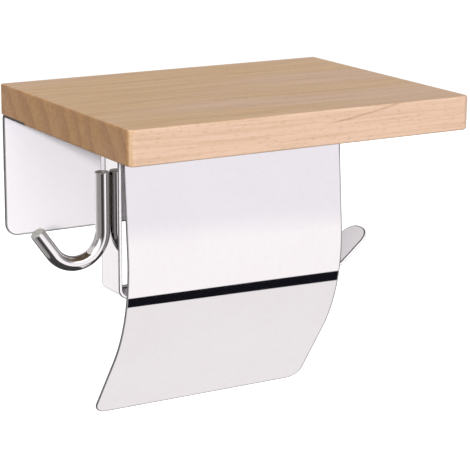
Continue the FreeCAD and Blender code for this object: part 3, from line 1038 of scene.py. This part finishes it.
@dataclass
class Screws:
    """The wood screws, whose CAD shapes are shown as they are."""

    nodes: tuple[str, ...] = ("wall_plate_screws", "roll_hanger_screws", "hinge_bracket_screws")

    def build(self) -> None:
        """Finds the screws among the CAD nodes."""
        self.pieces = [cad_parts[node] for node in self.nodes]

    def dress(self, finishes: Finishes) -> None:
        """Gives them bright zinc-plated steel.

        Args:
            finishes: The finishes.
        """
        for piece in self.pieces:
            for slot in piece.material_slots:
                slot.material = finishes.screw
            log.info("%s: %d faces, kept from the CAD", piece.name, len(piece.data.polygons))


# ------------------------------------------------------------------ studio


@dataclass(frozen=True)
class LightPatch:
    """A soft-edged region of the studio round the object, named by the directions that it fills.

    Azimuth 0 is straight out from the wall and positive is to the right. Degrees.
    """

    name: str
    azimuth: tuple[float, float]
    elevation: tuple[float, float]
    level: tuple[float, float, float]
    soft: float = 6.0


@dataclass
class Studio:
    """Pale floor, soft surroundings that the mirrors see, the light and the camera."""

    floor_drop: float = 2.0
    floor_size: float = 9.0
    base: Colour = (0.30, 0.30, 0.31, 1)
    patches: tuple[LightPatch, ...] = (
        LightPatch("ceiling", (-200, 200), (28, 95), (0.74, 0.73, 0.71), 14),
        LightPatch("below_wall", (-200, 200), (-95, -30), (0.12, 0.12, 0.12), 6),
        LightPatch("wall_right", (160, 200), (-32, -8), (1.12, 1.09, 1.10), 5),
        LightPatch("wall_left", (-200, -136), (-31, -8), (1.10, 1.08, 1.08), 5),
        LightPatch("left_wall", (-138, -20), (-80, 40), (0.34, 0.33, 0.32), 16),
        LightPatch("left_back", (-140, -108), (-60, 30), (0.60, 0.59, 0.58), 12),
        LightPatch("right_wall", (56, 120), (-28, 40), (0.42, 0.41, 0.41), 8),
        LightPatch("overhead_box", (-60, 34), (6, 48), (1.38, 1.36, 1.34), 5),
        LightPatch("camera_side", (-44, -6), (-76, -1), (0.07, 0.065, 0.065), 9),
        LightPatch("front_floor", (6, 114), (-95, -36), (1.01, 0.98, 0.985), 4),
        LightPatch("front_box", (6, 60), (-36, 2), (1.17, 1.14, 1.15), 4),
        LightPatch("front_horizon", (6, 60), (-6, 4), (1.03, 1.01, 1.06), 1),
        LightPatch("table_edge", (-4, 110), (-38.7, -33.2), (0.008, 0.008, 0.012), 0.35),
    )
    backdrop: float = 1.05               # brightness of the plain white behind the object
    from_below: float = 0.4              # share of the light from below that matt surfaces get
    below: tuple[float, float] = (-0.3, 0.1)   # sines of the elevations between which that share fades
    fill: float = 2.85
    fill_width: float = math.radians(6)
    card_size: tuple[float, float] = (60 * MM, 75 * MM)
    card_right: float = 2 * MM           # to the right of the rod, left of the lid
    card_drop: float = 33 * MM           # below the hook
    card_back: float = 19 * MM           # behind the rod
    yaw: float = math.radians(30.58)
    pitch: float = math.radians(14.29)
    roll: float = math.radians(0.39)
    place: Vector = field(default_factory=lambda: Vector((-0.4910, -0.9096, 0.2177)))
    lens: float = 141.8

    def build(self) -> None:
        """Lays the floor and sets up the card, the surroundings, the fill light and the camera."""
        self._lay_floor()
        self._hang_card()
        self._surround()
        self._light_fill()
        self._set_camera()
        bpy.context.scene.view_settings.view_transform = "Standard"

    def _lay_floor(self) -> None:
        """A plain pale floor, well below the holder, that neither mirrors nor matt surfaces see."""
        bm = bmesh.new()
        level = CAD_BOX[0].z - self.floor_drop
        bmesh.ops.create_grid(bm, x_segments=1, y_segments=1, size=self.floor_size,
                              matrix=Matrix.Translation((0, 0, level)))
        floor = object_from(bm, "floor")
        surface = Surface("pale_floor")
        mottle = surface.noise(surface.place, (3, 3, 3))
        floor.data.materials.append(surface.finish(
            Base_Color=surface.mix(mottle, (0.90, 0.90, 0.90, 1), (0.93, 0.93, 0.93, 1)),
            Roughness=0.9,
            Emission_Color=(1, 1, 1, 1),
            Emission_Strength=0.45,
        ))
        floor.visible_glossy = False
        floor.visible_diffuse = False

    def _hang_card(self) -> None:
        """A dark card under the hook that only mirrors see: it gives the rod its dark lower outline."""
        low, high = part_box("side_hook")
        bm = bmesh.new()
        wide, deep = self.card_size
        corner = Vector((high.x + self.card_right, high.y + self.card_back, low.z - self.card_drop))
        place = Matrix.Translation(corner - Vector((wide / 2, deep / 2, 0)))
        bmesh.ops.create_grid(bm, x_segments=1, y_segments=1, size=0.5,
                              matrix=place @ Matrix.Diagonal((wide, deep, 1, 1)))
        card = object_from(bm, "dark_card")
        surface = Surface("dark_felt")
        fuzz = surface.noise(surface.place, (200, 200, 200))
        card.data.materials.append(surface.finish(
            Base_Color=surface.mix(fuzz, (0.05, 0.05, 0.05, 1), (0.07, 0.07, 0.07, 1)), Roughness=1.0))
        card.visible_camera = False
        card.visible_diffuse = False
        card.visible_shadow = False

    def _light_fill(self) -> None:
        """A wide soft light from the camera's side that mirrors don't see."""
        lamp = bpy.data.lights.new("fill", "SUN")
        lamp.energy = self.fill
        lamp.angle = self.fill_width
        fill = bpy.data.objects.new("fill", lamp)
        fill.rotation_euler = (math.pi / 2 - self.pitch, 0, -self.yaw)
        fill.visible_glossy = False
        bpy.context.scene.collection.objects.link(fill)

    def _surround(self) -> None:
        """The surroundings: plain white behind the object, and soft patches for its light."""
        world = bpy.data.worlds.new("studio")
        world.use_nodes = True
        bpy.context.scene.world = world
        graph = Graph(world.node_tree)
        look = graph.add("SeparateXYZ", {0: graph.add("TexCoord").outputs["Generated"]})
        x, y, z = look.outputs
        degrees = 180 / math.pi
        azimuth = graph.math("MULTIPLY", graph.math("ARCTAN2", x, graph.math("MULTIPLY", y, -1.0)), degrees)
        elevation = graph.math("MULTIPLY", graph.math("ARCSINE", z), degrees)
        colour: object = self.base
        for patch in self.patches:
            log.info("light: %s", patch.name)
            across = self._within(graph, azimuth, patch.azimuth, patch.soft)
            upward = self._within(graph, elevation, patch.elevation, patch.soft)
            colour = graph.mix(graph.math("MULTIPLY", across, upward), colour, (*patch.level, 1))
        lit = graph.add("Background", {"Color": colour, "Strength": 1.0})
        plain = graph.add("Background", {"Color": (1, 1, 1, 1), "Strength": self.backdrop})
        dimmed = graph.ramp(z, *self.below, (self.from_below, 1))
        shade = graph.add("Background", {"Color": colour, "Strength": dimmed})
        ray = graph.add("LightPath").outputs
        light = graph.add("MixShader", {0: ray["Is Diffuse Ray"], 1: lit.outputs[0], 2: shade.outputs[0]})
        chosen = graph.add("MixShader", {0: ray["Is Camera Ray"], 1: light.outputs[0], 2: plain.outputs[0]})
        graph.add("OutputWorld", {"Surface": chosen.outputs[0]})

    def _within(self, graph: Graph, angle: bpy.types.NodeSocket, limits: tuple[float, float],
                soft: float) -> bpy.types.NodeSocket:
        """1 where an angle lies between its limits, with soft sides.

        Args:
            graph: The world's graph.
            angle: The angle, in degrees.
            limits: The two limits.
            soft: The width of each side, in degrees.

        Returns:
            The share, from 0 to 1.
        """
        rise = graph.ramp(angle, limits[0] - soft / 2, limits[0] + soft / 2)
        fall = graph.ramp(angle, limits[1] - soft / 2, limits[1] + soft / 2, (1, 0))
        return graph.math("MULTIPLY", rise, fall)

    def _set_camera(self) -> None:
        """Stands the camera to the left of the holder, looking a little down."""
        forward = Vector((
            math.sin(self.yaw) * math.cos(self.pitch),
            math.cos(self.yaw) * math.cos(self.pitch),
            -math.sin(self.pitch)))
        level = Vector((math.cos(self.yaw), -math.sin(self.yaw), 0))
        upright = level.cross(forward)
        right = level * math.cos(self.roll) + upright * math.sin(self.roll)
        up = upright * math.cos(self.roll) - level * math.sin(self.roll)
        data = bpy.data.cameras.new("camera")
        data.lens = self.lens
        camera = bpy.data.objects.new("camera", data)
        turn = Matrix((right, up, -forward)).transposed().to_4x4()
        camera.matrix_world = Matrix.Translation(self.place) @ turn
        bpy.context.scene.collection.objects.link(camera)
        bpy.context.scene.camera = camera


def main() -> None:
    """Builds and dresses every sub-assembly, then the studio."""
    logging.basicConfig(level=logging.INFO, format="%(name)s %(message)s")
    finishes = Finishes()
    for part in (ShelfBoard(), WallPlate(), RollHanger(), SideHook(), Lid(), Hinge(), Screws()):
        part.build()
        part.dress(finishes)
    Studio().build()


if __name__ == "__main__":
    main()
